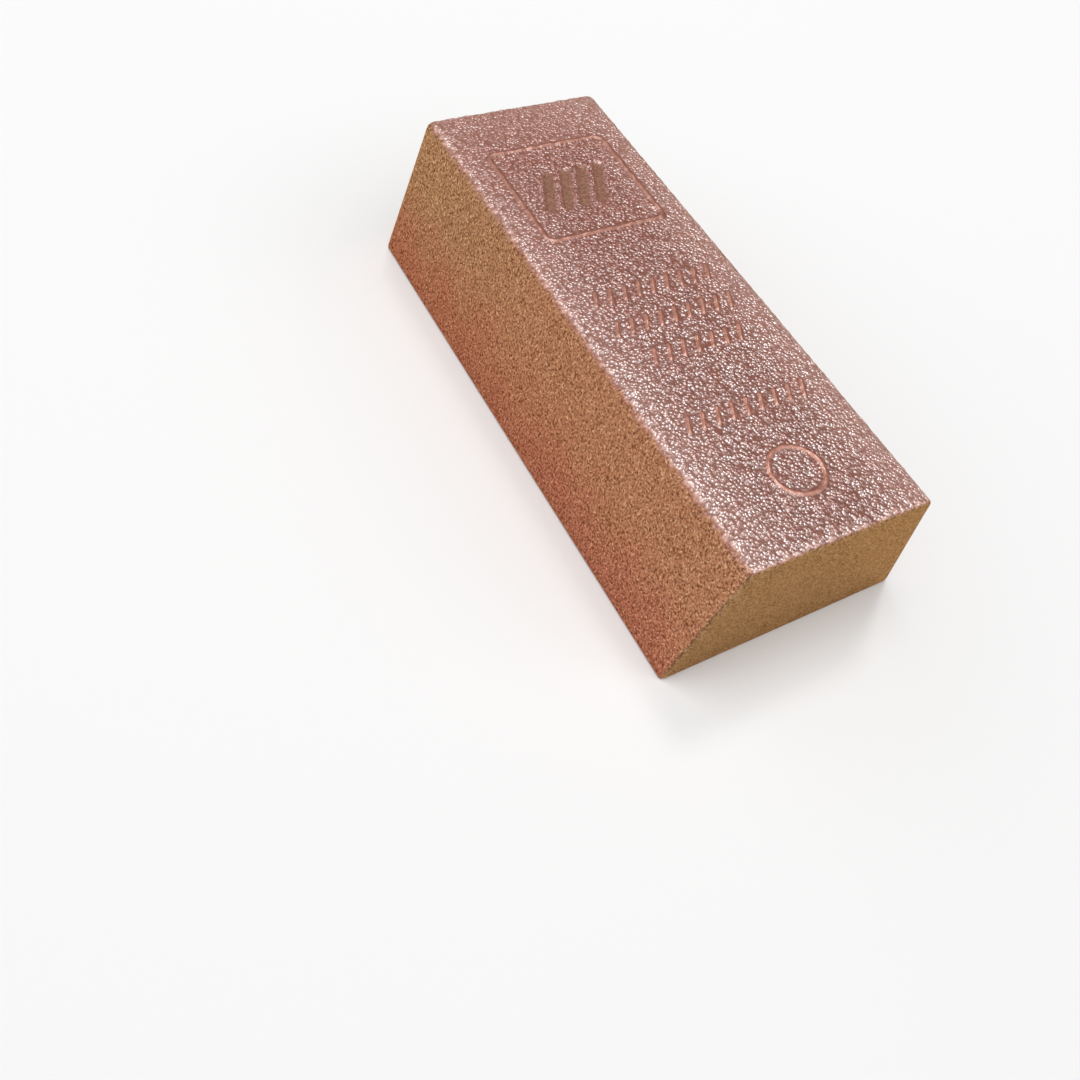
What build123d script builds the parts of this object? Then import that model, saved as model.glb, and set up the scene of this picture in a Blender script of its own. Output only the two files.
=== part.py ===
"""A one-pound copper ingot, cast as a single solid.

The bar is a trapezoid in section: a wide flat base, two long sides that lean in
towards a narrower top, and upright ends. The top carries low cast relief: a square
border round a group of sunk strokes, cable bands of short raised strokes, and a
small ring.

Frame: millimetres, +Z up, Y along the bar, origin at the middle of the base.
"""
import os

from build123d import *

# Driving dimensions of the bar
base_width = 36.4
top_width = 26.3
height = 20.5
length = 78.9

# Edge rounding: soft along the top, crisp round the near end, fuller round the far end
top_edge_radius = 1.3
near_end_radius = 0.5
far_end_radius = 1.2
base_edge_radius = 0.4

# Low relief on the top face
relief_height = 0.35
crest_bevel = 0.2
stroke_slant = 25

border_size = 18.6
border_rib_width = 0.9
border_corner_radius = 1.2
border_to_far_end = 9.3

sunk_stroke_length = 8.4
sunk_stroke_width = 1.5
sunk_stroke_pitch = 2.6
sunk_stroke_depth = 0.3
sunk_stroke_count = 4

ring_diameter = 7.4
ring_rib_width = 0.7
ring_to_near_end = 5.8

band_stroke_length = 2.9
band_stroke_width = 0.65
band_stroke_pitch = 2.1
short_band_inset = 1

# Cable bands lie on even steps that start at the border
band_pitch = 5.25
long_band_steps = (2, 3, 6)
short_band_step = 4

# How far a raised mark reaches into the bar, so that the two fuse cleanly
relief_root = 0.5

# Places along the bar that follow from the sizes above
border_center_y = length / 2 - border_to_far_end - border_size / 2
ring_center_y = -length / 2 + ring_to_near_end + ring_diameter / 2
field_start_y = border_center_y - border_size / 2


def make_bar():
    """The trapezoid bar with its top edges, its ends and its base edges rounded."""
    section = Polygon(
        (-base_width / 2, 0),
        (base_width / 2, 0),
        (top_width / 2, height),
        (-top_width / 2, height),
        align=None,
    )
    section = fillet(section.vertices().group_by(Axis.Y)[-1], top_edge_radius)
    bar = extrude(Plane.XZ * section, amount=length / 2, both=True)
    bar = round_end(bar.faces().sort_by(Axis.Y)[0], near_end_radius)
    bar = round_end(bar.faces().sort_by(Axis.Y)[-1], far_end_radius)
    return fillet(bar.faces().sort_by(Axis.Z)[0].edges(), base_edge_radius)


def round_end(end, radius):
    """The bar with this end face rounded up its sides and over its top, but not along its base."""
    return fillet(end.edges().sort_by(Axis.Z)[1:], radius)


def raise_mark(outline):
    """A mark that stands on the top face with a bevelled crest."""
    mark = extrude(outline, amount=relief_root + relief_height)
    crest = mark.faces().sort_by(Axis.Z)[-1].edges()
    return Pos(0, 0, height - relief_root) * chamfer(crest, crest_bevel)


def row_of(shape, count, pitch, row_y):
    """Copies of a shape in a row across the bar, centred on the bar's middle."""
    first_x = -(count - 1) * pitch / 2
    return [Pos(first_x + index * pitch, row_y, 0) * shape for index in range(count)]


def slanted_stroke(stroke_length, stroke_width):
    """The outline of a round-ended stroke that leans across the bar."""
    return Rot(0, 0, 90 - stroke_slant) * SlotOverall(stroke_length, stroke_width)


def make_border():
    """The square rib near the far end."""
    outer = RectangleRounded(border_size, border_size, border_corner_radius)
    inner_size = border_size - 2 * border_rib_width
    inner = RectangleRounded(inner_size, inner_size, border_corner_radius)
    return Pos(0, border_center_y, 0) * raise_mark(outer - inner)


def make_sunk_strokes():
    """The cutters for the group of sunk strokes inside the border."""
    outline = slanted_stroke(sunk_stroke_length, sunk_stroke_width)
    cutter = extrude(outline, amount=sunk_stroke_depth + relief_root)
    cutter = Pos(0, 0, height - sunk_stroke_depth) * cutter
    return row_of(cutter, sunk_stroke_count, sunk_stroke_pitch, border_center_y)


def make_ring():
    """The small round rib near the close end."""
    outer = Circle(ring_diameter / 2)
    inner = Circle(ring_diameter / 2 - ring_rib_width)
    return Pos(0, ring_center_y, 0) * raise_mark(outer - inner)


def make_band(step, inset):
    """One cable band as wide as the border, less a few strokes at each end."""
    stroke = raise_mark(slanted_stroke(band_stroke_length, band_stroke_width))
    count = round(border_size / band_stroke_pitch) - 2 * inset
    return row_of(stroke, count, band_stroke_pitch, field_start_y - step * band_pitch)


def make_bands():
    """All cable bands between the border and the ring."""
    strokes = make_band(short_band_step, short_band_inset)
    for step in long_band_steps:
        strokes += make_band(step, 0)
    return strokes


def make_ingot():
    """The whole ingot: the bar, its sunk strokes and its raised marks."""
    bar = make_bar() - make_sunk_strokes()
    return bar + [make_border(), make_ring(), *make_bands()]


os.makedirs("parts", exist_ok=True)
export_step(make_ingot().solid(), "parts/ingot.step")
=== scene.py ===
"""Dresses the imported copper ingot: a dense cast mesh, its copper, a studio and the camera."""
import math

import bpy
import numpy as np
from mathutils import Matrix, Vector, noise


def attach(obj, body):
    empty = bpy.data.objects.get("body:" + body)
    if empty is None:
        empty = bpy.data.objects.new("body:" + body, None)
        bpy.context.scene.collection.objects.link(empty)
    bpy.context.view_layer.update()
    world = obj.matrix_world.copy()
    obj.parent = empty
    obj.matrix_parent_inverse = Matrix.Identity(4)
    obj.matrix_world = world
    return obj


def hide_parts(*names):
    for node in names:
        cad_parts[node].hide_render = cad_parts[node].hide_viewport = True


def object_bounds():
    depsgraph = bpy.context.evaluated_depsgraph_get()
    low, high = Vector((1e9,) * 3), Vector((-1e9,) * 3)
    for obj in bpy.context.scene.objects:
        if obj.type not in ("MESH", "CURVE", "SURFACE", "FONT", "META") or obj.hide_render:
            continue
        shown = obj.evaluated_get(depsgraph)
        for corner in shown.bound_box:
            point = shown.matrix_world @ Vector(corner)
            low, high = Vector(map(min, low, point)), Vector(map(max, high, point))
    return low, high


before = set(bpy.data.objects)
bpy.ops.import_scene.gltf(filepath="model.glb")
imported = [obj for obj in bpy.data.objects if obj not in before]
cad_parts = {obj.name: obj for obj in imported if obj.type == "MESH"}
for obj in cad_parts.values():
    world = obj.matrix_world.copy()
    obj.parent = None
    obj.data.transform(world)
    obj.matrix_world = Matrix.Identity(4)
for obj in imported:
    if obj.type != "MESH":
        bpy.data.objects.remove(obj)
cad_low, cad_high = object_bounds()

# Bar sizes in millimetres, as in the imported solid
MM = 0.001
BASE_WIDTH = 36.4
TOP_WIDTH = 26.3
RELIEF_HEIGHT = 0.35
HEIGHT = cad_high.z / MM - RELIEF_HEIGHT
LENGTH = (cad_high.y - cad_low.y) / MM
TOP_EDGE_RADIUS = 1.3
NEAR_END_RADIUS = 0.5
FAR_END_RADIUS = 1.2
BASE_EDGE_RADIUS = 0.4

# Low relief on the top face
MARK_SOFTNESS = 0.18
STROKE_SLANT = math.radians(25)
BORDER_SIZE = 18.6
BORDER_RIB = 0.9
BORDER_CORNER = 1.2
BORDER_TO_FAR_END = 9.3
BORDER_Y = LENGTH / 2 - BORDER_TO_FAR_END - BORDER_SIZE / 2
SUNK_STROKE_LENGTH = 8.4
SUNK_STROKE_WIDTH = 1.5
SUNK_STROKE_PITCH = 2.6
SUNK_STROKE_DEPTH = 0.22
SUNK_SOFTNESS = 0.32
SUNK_STROKE_COUNT = 4
RING_DIAMETER = 7.4
RING_RIB = 0.7
RING_TO_NEAR_END = 5.8
RING_Y = -LENGTH / 2 + RING_TO_NEAR_END + RING_DIAMETER / 2
BAND_STROKE_LENGTH = 2.9
BAND_STROKE_WIDTH = 0.65
BAND_STROKE_PITCH = 2.1
BAND_PITCH = 5.25
LONG_BAND_STEPS = (2, 3, 6)
SHORT_BAND_STEP = 4
SHORT_BAND_INSET = 1

# Mesh density: columns and rows of the top grid are multiples of the seam ratio
TOP_COLUMNS = 150
TOP_ROWS = 483
SEAM_RATIO = 3
FILLET_LOOPS = 11
FINE_WALL_DROP = 0.3
COARSE_WALL_LOOPS = 16
BASE_FILLET_LOOPS = 3
LEAST_CORNER = 0.01
LEAST_BASE_CORNER = 0.05

# Cast surface of the top, in millimetres
PEBBLE_SIZE = 0.97
SMALL_PEBBLE_SIZE = 0.60
PEBBLE_HEIGHT = 0.12
SMALL_PEBBLE_HEIGHT = 0.03
SMALL_PEBBLE_OFFSET = 50.0
RIM_LUMP_HEIGHT = 0.05
RIM_REACH = 1.7
CROWN_REACH = 3.5
CROWN_DROP = 0.20
MARK_WEAR = 0.35
MARK_WEAR_SIZE = 1.1

# Profile of one pebble, in shares of its size: reach of the dome, width and depth of the joint
DOME_REACH = 0.75
JOINT_WIDTH = 0.25
JOINT_DEPTH = 0.25

# Colours of the copper
# Red low on the sides: partly painted reflection of neighbouring bars
SIDE_RED_REFLECTION = (0.452, 0.156, 0.099, 1)
SIDE_COPPER = (0.474, 0.213, 0.116, 1)
SIDE_GOLD = (0.460, 0.240, 0.129, 1)
END_BROWN = (0.430, 0.256, 0.137, 1)
TOP_PINK = (0.67, 0.300, 0.231, 1)
# Deeper pink: painted shade in the joints between pebbles and between the beads
TOP_JOINT_SHADE = (0.40, 0.152, 0.110, 1)
# Pale pink: painted highlight on the rim lumps and towards the top's edges
RIM_HIGHLIGHT_PINK = (0.90, 0.610, 0.525, 1)
MARK_PINK = (0.62, 0.290, 0.212, 1)
MARK_DIM = (0.51, 0.232, 0.172, 1)
# Dark brown: painted shade at the foot of the raised marks
FOOT_SHADE_BROWN = (0.30, 0.105, 0.072, 1)
SUNK_BROWN = (0.47, 0.258, 0.178, 1)
SUNK_DARK = (0.30, 0.150, 0.102, 1)

# Grain of the sides and ends, as factors of their colour: the hollows darkened as painted shade,
# the tips and sparks lightened as painted highlights and glints
HOLLOW_SHADE_TINT = (0.37, 0.30, 0.30, 1)
TIP_HIGHLIGHT_TINT = (1.40, 1.58, 1.62, 1)
GLINT_TINT = (1.75, 2.35, 2.60, 1)
END_SPARK_SHARE = 0.35

# Patterns per millimetre, and how far the blotches shift a border between two colours
SIDE_GRAIN_SCALE = 3.2
END_GRAIN_SCALE = 4.2
SPARK_SCALE = 3.4
BEAD_SCALE = 2.3
MOTTLE_SCALE = 2.6
CLUMP_SCALE = 0.55
BLOTCH_SCALE = 0.16
BLOTCH_SHIFT = 12.0

# Height of the fine grain, in millimetres, and roughness
GRAIN_BUMP = 0.25
BEAD_BUMP = 0.11
WALL_ROUGHNESS = 0.40
PEBBLE_ROUGHNESS = 0.82
CAVITY_ROUGHNESS = 0.88
MARK_ROUGHNESS = 0.60
SUNK_ROUGHNESS = 0.75

# Shares of the top's shine
MARK_SHINE = 0.25
SUNK_SHINE = 0.10
SLOPE_SHINE = 0.15
JOINT_SHINE = 0.35

# Room: its level, the dim part that the flat top mirrors, and one bright panel.
# Directions come with the cosines at which a part starts and is full.
ROOM_LEVEL = 0.74
DIM_LEVEL = 0.12
DIM_AXIS = (0.66, 0.25, 0.71)
DIM_SPREAD = (0.25, 0.88)
PANEL_LEVEL = 1.25
PANEL_AXIS = (0.55, -0.50, 0.67)
PANEL_SPREAD = (0.86, 0.96)
FLOOR_LEVEL = 0.94

# Floor and lamps in metres, lamps in watts
FLOOR_RADIUS = 3.0
FLOOR_SIDES = 96
LAMP_DISTANCE = 0.9
KEY_AXIS = (-0.08, 0.10, 0.99)
KEY_SIZE = 0.42
KEY_POWER = 2.9
BACK_AXIS = (0.316, 0.311, 0.896)
BACK_SIZE = 0.15
BACK_POWER = 1.2

# Camera: place in millimetres, turn in degrees, focal length in pixels of a square frame
CAMERA_PLACE = (-72.142, -71.411, 104.52)
CAMERA_HEADING = 42.516
CAMERA_PITCH = 54.516
CAMERA_ROLL = 16.964
FOCAL_PIXELS = 1025.25
FRAME_PIXELS = 1080
SENSOR_WIDTH = 36.0
CLIP_START = 0.005

LEAN = math.atan2((BASE_WIDTH - TOP_WIDTH) / 2, HEIGHT)


def smooth_step(low, high, value):
    """0 at low, 1 at high, and a smooth rise or fall between."""
    t = np.clip((value - low) / (high - low), 0.0, 1.0)
    return t * t * (3 - 2 * t)


def half_chord(radius, offset):
    """Half the chord of a circle at a distance from its centre, 0 outside."""
    return math.sqrt(max(radius**2 - offset**2, 0.0))


def half_width(z):
    """Half the bar's width at a height."""
    sine, cosine = math.sin(LEAN), math.cos(LEAN)
    above = z - (HEIGHT - TOP_EDGE_RADIUS)
    if above > TOP_EDGE_RADIUS * sine:
        center = TOP_WIDTH / 2 - TOP_EDGE_RADIUS * (1 - sine) / cosine
        return center + half_chord(TOP_EDGE_RADIUS, above)
    if z < BASE_EDGE_RADIUS * (1 + sine):
        center = BASE_WIDTH / 2 - BASE_EDGE_RADIUS * (1 + sine) / cosine
        return center + half_chord(BASE_EDGE_RADIUS, z - BASE_EDGE_RADIUS)
    return TOP_WIDTH / 2 + (HEIGHT - z) * math.tan(LEAN)


def end_corner(z, radius):
    """Reach of an end, and the corner's reach across and along the bar, at a height."""
    depth = HEIGHT - z
    along = half_chord(radius, max(radius - depth, 0.0))
    reach = LENGTH / 2 - radius + along
    if depth < TOP_EDGE_RADIUS:
        shoulder = TOP_EDGE_RADIUS - depth
        across = half_chord(TOP_EDGE_RADIUS, shoulder)
        across -= half_chord(TOP_EDGE_RADIUS - radius, shoulder)
    else:
        across = radius
    if z < BASE_EDGE_RADIUS:
        tuck = BASE_EDGE_RADIUS - half_chord(BASE_EDGE_RADIUS, z - BASE_EDGE_RADIUS)
        reach -= tuck
        along = max(along - tuck, LEAST_BASE_CORNER)
        across = max(across - tuck, LEAST_BASE_CORNER)
    return reach, max(across, LEAST_CORNER), max(along, LEAST_CORNER)


def outline_points(edge_uv, z):
    """Points of the bar's rounded outline at a height, from places on a unit square."""
    width = half_width(z)
    near = end_corner(z, NEAR_END_RADIUS)
    far = end_corner(z, FAR_END_RADIUS)
    is_far = edge_uv[:, 1] > 0
    reach, across, along = (np.where(is_far, f, n) for f, n in zip(far, near))
    flat_x = edge_uv[:, 0] * width
    flat_y = (edge_uv[:, 1] + 1) / 2 * (far[0] + near[0]) - near[0]
    core_x = np.clip(flat_x, across - width, width - across)
    core_y = np.where(is_far, np.minimum(flat_y, reach - along), np.maximum(flat_y, along - reach))
    off_x = (flat_x - core_x) / across
    off_y = (flat_y - core_y) / along
    size = np.maximum(np.hypot(off_x, off_y), 1e-9)
    x = core_x + across * off_x / size
    y = core_y + along * off_y / size
    return np.column_stack([x, y, np.full(len(x), z)])


def grid_border(columns, rows):
    """Grid places (column, row) once round the edge of the top grid."""
    front = [(i, 0) for i in range(columns)]
    right = [(columns, j) for j in range(rows)]
    back = [(i, rows) for i in range(columns, 0, -1)]
    left = [(0, j) for j in range(rows, 0, -1)]
    return front + right + back + left


def wall_heights():
    """Heights of the fine loops and of the coarse loops below the top grid."""
    top_start = HEIGHT - TOP_EDGE_RADIUS
    angles = np.linspace(math.pi / 2, 0, FILLET_LOOPS + 1)[1:]
    fine = [top_start + TOP_EDGE_RADIUS * math.sin(a) for a in angles]
    fine.append(top_start - FINE_WALL_DROP)
    base_end = BASE_EDGE_RADIUS * (1 + math.sin(LEAN))
    coarse = list(np.linspace(fine[-1], base_end, COARSE_WALL_LOOPS + 1)[1:])
    turns = np.linspace(math.sin(LEAN), -1, BASE_FILLET_LOOPS + 1)[1:]
    coarse += [BASE_EDGE_RADIUS * (1 + t) for t in turns]
    return fine, coarse


def bar_mesh():
    """Points in millimetres and faces of the plain bar, fine on top and coarser below."""
    columns, rows = TOP_COLUMNS, TOP_ROWS
    width = half_width(HEIGHT)
    xs = np.linspace(-width, width, columns + 1)
    ys = np.linspace(NEAR_END_RADIUS - LENGTH / 2, LENGTH / 2 - FAR_END_RADIUS, rows + 1)
    grid_x, grid_y = np.meshgrid(xs, ys)
    points = [np.column_stack([grid_x.ravel(), grid_y.ravel(), np.full(grid_x.size, HEIGHT)])]

    def at(i, j):
        return j * (columns + 1) + i

    faces = []
    for j in range(rows):
        for i in range(columns):
            faces.append((at(i, j), at(i + 1, j), at(i + 1, j + 1), at(i, j + 1)))

    border = grid_border(columns, rows)
    loop = [at(i, j) for i, j in border]
    edge_uv = np.array([(2 * i / columns - 1, 2 * j / rows - 1) for i, j in border])
    fine, coarse = wall_heights()
    count = grid_x.size

    for z in fine:
        points.append(outline_points(edge_uv, z))
        lower = list(range(count, count + len(loop)))
        count += len(loop)
        for k in range(len(loop)):
            n = (k + 1) % len(loop)
            faces.append((loop[n], loop[k], lower[k], lower[n]))
        loop = lower

    edge_uv = edge_uv[::SEAM_RATIO]
    for index, z in enumerate(coarse):
        points.append(outline_points(edge_uv, z))
        lower = list(range(count, count + len(edge_uv)))
        count += len(edge_uv)
        step = SEAM_RATIO if index == 0 else 1
        for k in range(len(lower)):
            n = (k + 1) % len(lower)
            upper = [loop[(k * step + s) % len(loop)] for s in range(step, -1, -1)]
            faces.append((*upper, lower[k], lower[n]))
        loop = lower
    faces.append(tuple(reversed(loop)))
    return np.vstack(points), faces


def capsule_line(x, y, center_x, center_y, stroke_length, stroke_width):
    """Distance from the middle line of a round-ended stroke that leans across the bar."""
    reach = (stroke_length - stroke_width) / 2
    along_x, along_y = math.sin(STROKE_SLANT), math.cos(STROKE_SLANT)
    dx, dy = x - center_x, y - center_y
    along = np.clip(dx * along_x + dy * along_y, -reach, reach)
    return np.hypot(dx - along * along_x, dy - along * along_y)


def stroke_row_line(x, y, count, pitch, row_y, stroke_length, stroke_width):
    """Distance from the nearest middle line in a row of strokes across the bar."""
    first_x = -(count - 1) * pitch / 2
    strokes = [
        capsule_line(x, y, first_x + k * pitch, row_y, stroke_length, stroke_width)
        for k in range(count)
    ]
    return np.minimum.reduce(strokes)


def border_line(x, y):
    """Distance from the middle line of the square rib."""
    inner = BORDER_SIZE / 2 - BORDER_RIB / 2 - BORDER_CORNER
    dx = np.abs(x) - inner
    dy = np.abs(y - BORDER_Y) - inner
    outside = np.hypot(np.maximum(dx, 0), np.maximum(dy, 0))
    return np.abs(outside + np.minimum(np.maximum(dx, dy), 0) - BORDER_CORNER)


def ring_line(x, y):
    """Distance from the middle line of the small round rib."""
    return np.abs(np.hypot(x, y - RING_Y) - (RING_DIAMETER - RING_RIB) / 2)


def rounded_rib(line, width):
    """A soft rounded profile, 1 on the middle line and 0 past the rib's foot."""
    reach = width / 2 + MARK_SOFTNESS
    return 0.5 + 0.5 * np.cos(np.pi * np.clip(line / reach, 0, 1))


def raised_marks(x, y):
    """Height of the raised marks, 0 to 1."""
    marks = [rounded_rib(border_line(x, y), BORDER_RIB), rounded_rib(ring_line(x, y), RING_RIB)]
    field_start = BORDER_Y - BORDER_SIZE / 2
    long_count = round(BORDER_SIZE / BAND_STROKE_PITCH)
    bands = [(SHORT_BAND_STEP, long_count - 2 * SHORT_BAND_INSET)]
    bands += [(step, long_count) for step in LONG_BAND_STEPS]
    for step, count in bands:
        band_y = field_start - step * BAND_PITCH
        line = stroke_row_line(
            x, y, count, BAND_STROKE_PITCH, band_y, BAND_STROKE_LENGTH, BAND_STROKE_WIDTH
        )
        marks.append(rounded_rib(line, BAND_STROKE_WIDTH))
    return np.maximum.reduce(marks)


def sunk_marks(x, y):
    """Depth of the sunk strokes, 0 to 1."""
    line = stroke_row_line(
        x, y, SUNK_STROKE_COUNT, SUNK_STROKE_PITCH, BORDER_Y,
        SUNK_STROKE_LENGTH, SUNK_STROKE_WIDTH,
    )
    edge = SUNK_STROKE_WIDTH / 2
    return smooth_step(edge + SUNK_SOFTNESS, edge - SUNK_SOFTNESS, line)


def pebble_dome(point, size):
    """Height of rounded pebbles of one size at a point, about 0 to 1."""
    cell = Vector(point) / size
    near, second = noise.voronoi(cell)[0][:2]
    dome = 1.0 - min(near / DOME_REACH, 1.0) ** 2
    return dome - JOINT_DEPTH * max(JOINT_WIDTH - (second - near), 0.0)


def vertex_normals(mesh):
    """The mesh's point normals as an array."""
    flat = np.empty(len(mesh.vertices) * 3, dtype=np.float32)
    mesh.vertices.foreach_get("normal", flat)
    return flat.reshape(-1, 3).astype(float)


def crown_drop(x, y, z):
    """How far the top falls away near its edges."""
    over_x = np.clip((np.abs(x) - TOP_WIDTH / 2) / CROWN_REACH + 1, 0, 1)
    over_y = np.clip((np.abs(y) - LENGTH / 2) / CROWN_REACH + 1, 0, 1)
    shoulder = np.clip((z - HEIGHT) / TOP_EDGE_RADIUS + 1, 0, 1)
    return CROWN_DROP * np.minimum(over_x**2 + over_y**2, 1) * shoulder


def cast_bar(points, normals):
    """Moved points and the masks that the material reads."""
    x, y, z = points.T
    pebbled = smooth_step(0.26, 0.60, normals[:, 2]) * (z > HEIGHT - TOP_EDGE_RADIUS)
    on_top = z > HEIGHT - 1e-4
    raised = np.where(on_top, raised_marks(x, y), 0)
    sunk = np.where(on_top, sunk_marks(x, y), 0)
    plain = 1 - np.maximum(smooth_step(0.1, 0.6, raised), sunk)
    worn = np.ones(len(points))
    for index in np.flatnonzero(raised > 0.01):
        worn[index] += MARK_WEAR * (noise.noise(Vector(points[index]) / MARK_WEAR_SIZE) - 0.6)

    dome = np.zeros(len(points))
    small_dome = np.zeros(len(points))
    for index in np.flatnonzero(pebbled > 0.01):
        dome[index] = pebble_dome(points[index], PEBBLE_SIZE)
        small_dome[index] = pebble_dome(points[index] + SMALL_PEBBLE_OFFSET, SMALL_PEBBLE_SIZE)
    cast_top = pebbled * smooth_step(0.58, 0.86, normals[:, 2] + 0.35 * (small_dome - 0.5))
    grain = pebbled * smooth_step(0.40, 0.97, normals[:, 2]) * (0.30 + 0.70 * plain)
    inset = np.minimum(TOP_WIDTH / 2 - np.abs(x), LENGTH / 2 - np.abs(y))
    rim = smooth_step(RIM_REACH, 0.3, inset)
    shift = (PEBBLE_HEIGHT + RIM_LUMP_HEIGHT * rim) * (dome - 0.5)
    shift += SMALL_PEBBLE_HEIGHT * (small_dome - 0.5)
    moved = points + normals * (grain * shift)[:, None]
    moved[:, 2] += raised * worn * RELIEF_HEIGHT - sunk * SUNK_STROKE_DEPTH - crown_drop(x, y, z)
    # Joints between pebbles: darkened in the top's colour as painted shade, duller in roughness
    cavity = smooth_step(0.85, 0.10, 0.65 * dome + 0.35 * small_dome) * plain
    masks = {
        "cast_top": cast_top,
        # Rim lumps: paled in the top's colour as painted highlight
        "rim": cast_top * rim * smooth_step(0.20, 0.70, dome),
        "level": smooth_step(0.78, 0.97, normals[:, 2]),
        "raised": smooth_step(0.15, 0.55, raised),
        # Foot of the marks: darkened in the top's colour as painted shade
        "mark_foot": smooth_step(0.0, 0.10, raised) * smooth_step(0.60, 0.25, raised),
        "sunk": sunk,
        "end_face": smooth_step(0.55, 0.85, np.abs(normals[:, 1])),
        "corner": smooth_step(0.15, 0.45, np.abs(normals[:, 0] * normals[:, 1])) * (y < 0),
        "cavity": cavity,
        "plain": plain,
    }
    return moved, masks


def make_ingot():
    """The dressed ingot as one mesh object, with its material."""
    points, faces = bar_mesh()
    mesh = bpy.data.meshes.new("ingot_cast")
    mesh.from_pydata((points * MM).tolist(), [], faces)
    mesh.update()
    moved, masks = cast_bar(points, vertex_normals(mesh))
    mesh.vertices.foreach_set("co", (moved * MM).astype(np.float32).ravel())
    for name, values in masks.items():
        layer = mesh.attributes.new(name, "FLOAT", "POINT")
        layer.data.foreach_set("value", values.astype(np.float32))
    mesh.polygons.foreach_set("use_smooth", np.ones(len(mesh.polygons), dtype=bool))
    mesh.materials.append(copper_material(list(masks)))
    mesh.update()
    piece = bpy.data.objects.new("ingot_cast", mesh)
    bpy.context.scene.collection.objects.link(piece)
    return piece


class Nodes:
    """A short way to add and join the nodes of one material or world."""

    def __init__(self, owner):
        owner.use_nodes = True
        self.tree = owner.node_tree
        self.tree.nodes.clear()

    def add(self, kind, inputs=(), **settings):
        node = self.tree.nodes.new(kind)
        for name, value in settings.items():
            setattr(node, name, value)
        for key, value in dict(inputs).items():
            self.feed(node.inputs[key], value)
        return node

    def feed(self, socket, value):
        if isinstance(value, bpy.types.NodeSocket):
            self.tree.links.new(value, socket)
        else:
            socket.default_value = value

    def math(self, operation, a, b=0.0, clamp=False):
        node = self.add("ShaderNodeMath", {0: a, 1: b}, operation=operation, use_clamp=clamp)
        return node.outputs[0]

    def attribute(self, name):
        return self.add("ShaderNodeAttribute", attribute_name=name).outputs["Fac"]

    def mix_color(self, factor, a, b, blend="MIX"):
        inputs = {0: factor, 6: a, 7: b}
        return self.add("ShaderNodeMix", inputs, data_type="RGBA", blend_type=blend).outputs[2]

    def mix_value(self, factor, a, b):
        return self.add("ShaderNodeMix", {0: factor, 2: a, 3: b}, data_type="FLOAT").outputs[0]

    def mix_vector(self, factor, a, b):
        return self.add("ShaderNodeMix", {0: factor, 4: a, 5: b}, data_type="VECTOR").outputs[1]

    def scaled(self, a, b):
        return self.math("MULTIPLY", a, b)

    def tinted(self, color, tint):
        return self.mix_color(1.0, color, tint, "MULTIPLY")

    def nearness(self, direction, axis):
        inputs = {0: direction, 1: Vector(axis).normalized()}
        return self.add("ShaderNodeVectorMath", inputs, operation="DOT_PRODUCT").outputs["Value"]

    def bump(self, depth, height):
        inputs = {"Strength": 1.0, "Distance": depth * MM, "Height": height}
        return self.add("ShaderNodeBump", inputs).outputs["Normal"]

    def noise(self, place, scale, detail=2.0, roughness=0.5):
        node = self.add(
            "ShaderNodeTexNoise",
            {"Vector": place, "Scale": scale, "Detail": detail, "Roughness": roughness},
        )
        return node.outputs["Fac"]

    def beads(self, place, scale):
        cell = self.add("ShaderNodeTexVoronoi", {"Vector": place, "Scale": scale})
        reach = self.math("DIVIDE", cell.outputs["Distance"], DOME_REACH)
        return self.math("SUBTRACT", 1.0, self.math("MULTIPLY", reach, reach), clamp=True)

    def ramp(self, factor, low, high):
        node = self.add(
            "ShaderNodeMapRange",
            {"Value": factor, "From Min": low, "From Max": high},
            interpolation_type="SMOOTHSTEP",
        )
        return node.outputs["Result"]


class CopperNodes(Nodes):
    """The nodes of the copper, with the places, masks and patterns that its parts share."""

    def __init__(self, owner, mask_names):
        super().__init__(owner)
        place = self.add("ShaderNodeTexCoord").outputs["Object"]
        inputs = {0: place, 1: (1 / MM, 1 / MM, 1 / MM)}
        self.place = self.add("ShaderNodeVectorMath", inputs, operation="MULTIPLY").outputs[0]
        axes = self.add("ShaderNodeSeparateXYZ", {0: self.place}).outputs
        self.x = axes["X"]
        self.y = axes["Y"]
        self.z = axes["Z"]
        self.mask = {name: self.attribute(name) for name in mask_names}
        self.beads_height = self.beads(self.place, BEAD_SCALE)
        self.crest = self.ramp(self.beads_height, 0.12, 0.62)
        self.blotch = self.noise(self.place, BLOTCH_SCALE, 3.0)
        self.grain = self.mix_value(
            self.mask["end_face"],
            self.noise(self.place, SIDE_GRAIN_SCALE, 2.0, 0.60),
            self.noise(self.place, END_GRAIN_SCALE, 2.0, 0.60),
        )
        ragged = self.scaled(self.math("SUBTRACT", 0.5, self.beads_height), 0.8)
        self.sunk = self.ramp(self.math("ADD", self.mask["sunk"], ragged), 0.15, 0.95)


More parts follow.
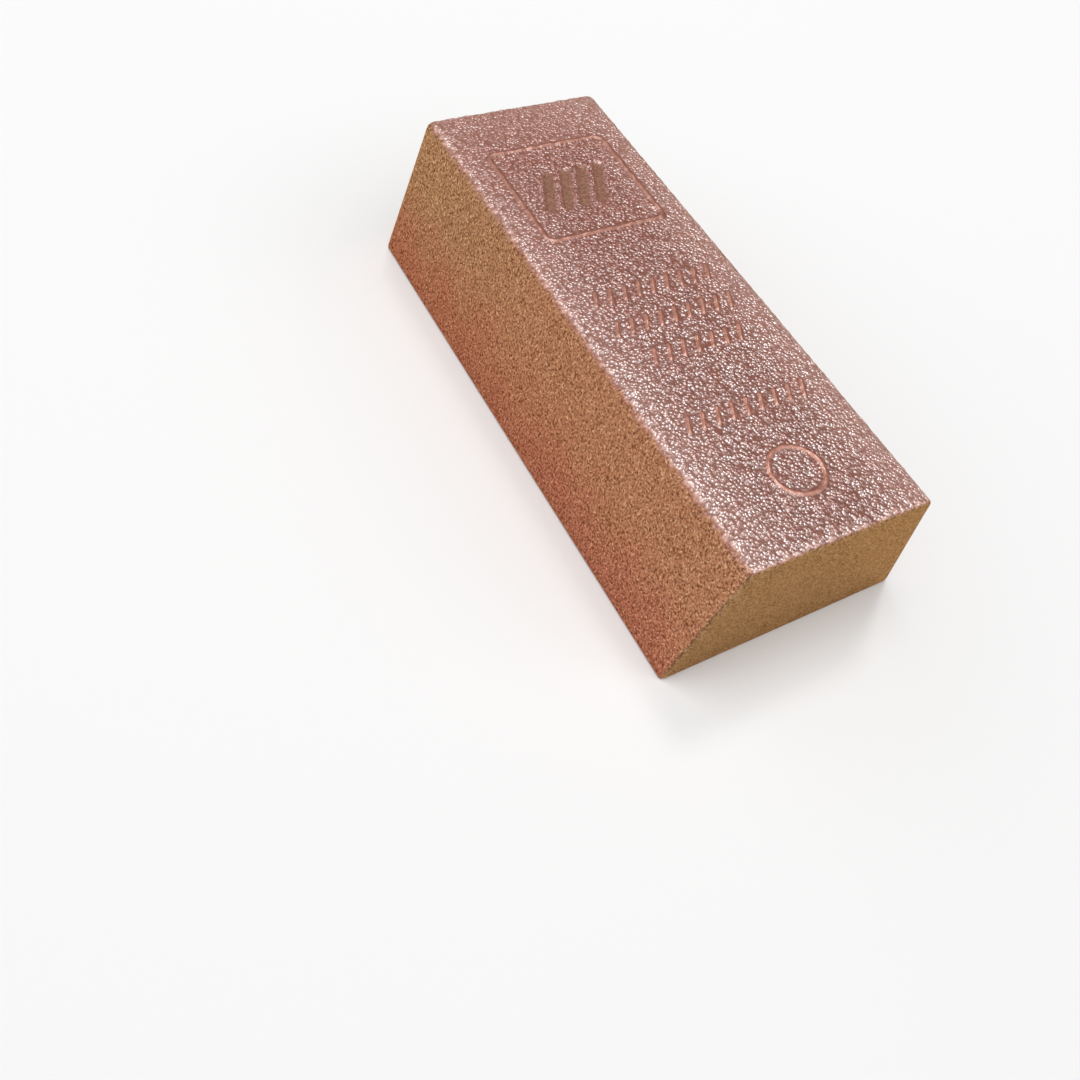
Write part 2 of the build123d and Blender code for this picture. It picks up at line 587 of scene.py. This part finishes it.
def wall_color(n):
    """Colour of the sides and ends: redder low down, partly as painted reflection of neighbouring
    bars, darker in blotches along the near vertical corners, with the grain's hollows darkened as
    painted shade and its tips and sparks lightened as painted highlights and glints.
    """
    end_face = n.mask["end_face"]
    wander = n.scaled(n.math("SUBTRACT", n.blotch, 0.5), BLOTCH_SHIFT)
    gold = n.ramp(n.math("ADD", n.y, wander), -5.0, 40.0)
    # Redder low down: partly painted reflection of neighbouring bars, weaker on the hidden right
    # side
    red_reflection = n.ramp(n.math("ADD", n.z, wander), 14.0, 0.0)
    red_reflection = n.scaled(red_reflection, n.mix_value(n.ramp(n.x, -8.0, 8.0), 0.85, 0.4))
    side = n.mix_color(red_reflection, n.mix_color(gold, SIDE_COPPER, SIDE_GOLD), SIDE_RED_REFLECTION)
    wall = n.mix_color(end_face, side, END_BROWN)
    # Hollows: painted shade in the grain's pits
    hollow_shade = n.tinted(wall, HOLLOW_SHADE_TINT)
    # Tips: painted highlight on the grain
    tip_highlight = n.tinted(wall, TIP_HIGHLIGHT_TINT)
    # Sparks: painted glints, fewer on the ends
    painted_glint = n.tinted(wall, GLINT_TINT)
    # Darker in blotches along the near vertical corners
    corner_darkening = n.scaled(n.mask["corner"], n.ramp(n.blotch, 0.32, 0.52))
    pits = n.math("MAXIMUM", n.ramp(n.grain, 0.52, 0.30), corner_darkening)
    wall = n.mix_color(n.ramp(n.grain, 0.46, 0.70), n.mix_color(pits, wall, hollow_shade), tip_highlight)
    glint_spots = n.ramp(n.noise(n.place, SPARK_SCALE, 1.0, 0.5), 0.57, 0.71)
    return n.mix_color(n.scaled(glint_spots, n.mix_value(end_face, 1.0, END_SPARK_SHARE)), wall, painted_glint)


def top_color(n):
    """Colour of the cast top: deep pink between the beads and in the joints as painted shade, pale
    towards the rim and edges as painted highlight, dark at the marks' feet as painted shade, plain
    on the marks.
    """
    mottle = n.ramp(n.noise(n.place, MOTTLE_SCALE, 2.0, 0.7), 0.30, 0.62)
    # Darker between the beads and in the joints: painted shade, with random mottle
    shade = n.scaled(n.scaled(n.crest, mottle), n.mix_value(n.mask["cavity"], 1.0, 0.6))
    top = n.mix_color(shade, TOP_JOINT_SHADE, TOP_PINK)
    # Paler towards the side edges and the far end, most on the right, and on the rim lumps:
    # painted highlight
    edge = n.math("MAXIMUM", n.ramp(n.math("ABSOLUTE", n.x), 4.0, 12.5), n.ramp(n.y, 24.0, 39.0))
    edge = n.scaled(edge, n.mix_value(n.ramp(n.x, -2.0, 8.0), 0.26, 0.40))
    top = n.mix_color(n.math("MAXIMUM", edge, n.scaled(n.mask["rim"], 0.9)), top, RIM_HIGHLIGHT_PINK)
    # Dark brown at the foot of the marks: painted shade
    top = n.mix_color(n.scaled(n.mask["mark_foot"], 0.75), top, FOOT_SHADE_BROWN)
    mark = n.mix_color(n.ramp(n.y, -4.0, 12.0), MARK_PINK, MARK_DIM)
    top = n.mix_color(n.mask["raised"], top, mark)
    sunk_tone = n.mix_color(n.ramp(n.grain, 0.38, 0.58), SUNK_DARK, SUNK_BROWN)
    return n.mix_color(n.sunk, top, sunk_tone)


def copper_roughness(n):
    """Roughness: blasted walls, duller joints between the pebbles, smoother marks."""
    top = n.mix_value(n.ramp(n.mask["cavity"], 0.3, 0.9), PEBBLE_ROUGHNESS, CAVITY_ROUGHNESS)
    top = n.mix_value(n.mask["raised"], top, MARK_ROUGHNESS)
    top = n.mix_value(n.sunk, top, SUNK_ROUGHNESS)
    return n.mix_value(n.mask["cast_top"], WALL_ROUGHNESS, top)


def copper_normal(n):
    """Fine grain: blasted on the walls, small beads on the top's pebbles."""
    beads = n.scaled(n.beads_height, n.mix_value(n.mask["plain"], 0.12, 1.0))
    return n.mix_vector(
        n.mask["cast_top"], n.bump(GRAIN_BUMP, n.grain), n.bump(BEAD_BUMP, beads)
    )


def top_shine(n):
    """Weight of the shiny skin of the top: uneven, stronger near the close end and the rim."""
    clump = n.mix_value(n.ramp(n.noise(n.place, CLUMP_SCALE, 2.0), 0.35, 0.60), 0.70, 1.0)
    far_shine = n.mix_value(n.ramp(n.x, 3.0, 11.0), 0.62, 0.88)
    clump = n.scaled(clump, n.mix_value(n.ramp(n.y, -20.0, 34.0), 1.0, far_shine))
    clump = n.mix_value(n.mask["rim"], clump, 1.0)
    marked = n.math("MAXIMUM", n.mask["raised"], n.mask["mark_foot"])
    shine = n.mix_value(n.sunk, n.mix_value(marked, clump, MARK_SHINE), SUNK_SHINE)
    shine = n.scaled(shine, n.mix_value(n.mask["level"], SLOPE_SHINE, 1.0))
    return n.scaled(shine, n.scaled(n.mask["cast_top"], n.mix_value(n.crest, JOINT_SHINE, 1.0)))


def copper_material(mask_names):
    """Cast copper: pebbled pink on top, finely blasted brown on the sides and ends."""
    material = bpy.data.materials.new("cast_copper")
    n = CopperNodes(material, mask_names)
    normal = copper_normal(n)
    shader = n.add(
        "ShaderNodeBsdfPrincipled",
        {
            "Base Color": n.mix_color(n.mask["cast_top"], wall_color(n), top_color(n)),
            "Metallic": 1.0,
            "Roughness": copper_roughness(n),
            "Specular Tint": (0.70, 0.45, 0.25, 1),
            "Coat Weight": top_shine(n),
            "Coat Roughness": 0.30,
            "Coat IOR": 4.3,
            "Normal": normal,
            "Coat Normal": normal,
        },
    )
    n.add("ShaderNodeOutputMaterial", {"Surface": shader.outputs[0]})
    return material


def grey(level):
    """A neutral colour of a level."""
    return (level, level, level, 1)


def floor_material():
    """Plain matt white floor."""
    material = bpy.data.materials.new("studio_floor")
    n = Nodes(material)
    shader = n.add(
        "ShaderNodeBsdfPrincipled",
        {"Base Color": grey(FLOOR_LEVEL), "Roughness": 0.9, "Specular IOR Level": 0.0},
    )
    n.add("ShaderNodeOutputMaterial", {"Surface": shader.outputs[0]})
    return material


def make_floor():
    """A wide round floor under the ingot."""
    turns = [2 * math.pi * k / FLOOR_SIDES for k in range(FLOOR_SIDES)]
    ring = [(FLOOR_RADIUS * math.cos(a), FLOOR_RADIUS * math.sin(a), 0) for a in turns]
    mesh = bpy.data.meshes.new("studio_floor")
    mesh.from_pydata(ring, [], [tuple(range(FLOOR_SIDES))])
    mesh.materials.append(floor_material())
    floor = bpy.data.objects.new("studio_floor", mesh)
    bpy.context.scene.collection.objects.link(floor)


def make_world():
    """A soft pale room with a dim part, which the flat top mirrors, and one bright panel."""
    world = bpy.data.worlds.new("soft_room")
    n = Nodes(world)
    direction = n.add("ShaderNodeTexCoord").outputs["Generated"]
    dim = n.ramp(n.nearness(direction, DIM_AXIS), *DIM_SPREAD)
    panel = n.ramp(n.nearness(direction, PANEL_AXIS), *PANEL_SPREAD)
    color = n.mix_color(dim, grey(ROOM_LEVEL), grey(DIM_LEVEL))
    color = n.mix_color(panel, color, grey(PANEL_LEVEL))
    background = n.add("ShaderNodeBackground", {"Color": color, "Strength": 1.0})
    n.add("ShaderNodeOutputWorld", {"Surface": background.outputs[0]})
    bpy.context.scene.world = world


def add_softbox(name, axis, size, power):
    """A square lamp that faces the ingot from a direction."""
    lamp = bpy.data.lights.new(name, "AREA")
    lamp.shape = "SQUARE"
    lamp.size = size
    lamp.energy = power
    place = Vector(axis).normalized() * LAMP_DISTANCE
    light = bpy.data.objects.new(name, lamp)
    light.location = place
    light.rotation_euler = (-place).to_track_quat("-Z", "Y").to_euler()
    bpy.context.scene.collection.objects.link(light)


def make_lights():
    """A softbox overhead, and a small one behind the bar that sparkles on the pebbles."""
    add_softbox("key_softbox", KEY_AXIS, KEY_SIZE, KEY_POWER)
    add_softbox("back_softbox", BACK_AXIS, BACK_SIZE, BACK_POWER)


def make_camera():
    """The camera of the reference view: close, looking down across the near left corner."""
    heading = math.radians(CAMERA_HEADING)
    pitch = math.radians(CAMERA_PITCH)
    roll = math.radians(CAMERA_ROLL)
    data = bpy.data.cameras.new("view")
    data.sensor_width = SENSOR_WIDTH
    data.lens = SENSOR_WIDTH * FOCAL_PIXELS / FRAME_PIXELS
    data.clip_start = CLIP_START
    camera = bpy.data.objects.new("view", data)
    turn = Matrix.Rotation(-heading, 4, "Z") @ Matrix.Rotation(math.pi / 2 - pitch, 4, "X")
    turn = turn @ Matrix.Rotation(roll, 4, "Z")
    camera.matrix_world = Matrix.Translation(Vector(CAMERA_PLACE) * MM) @ turn
    bpy.context.scene.collection.objects.link(camera)
    bpy.context.scene.camera = camera


ingot = make_ingot()
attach(ingot, "root")
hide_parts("ingot")
make_floor()
make_world()
make_lights()
make_camera()
bpy.context.scene.view_settings.view_transform = "Standard"
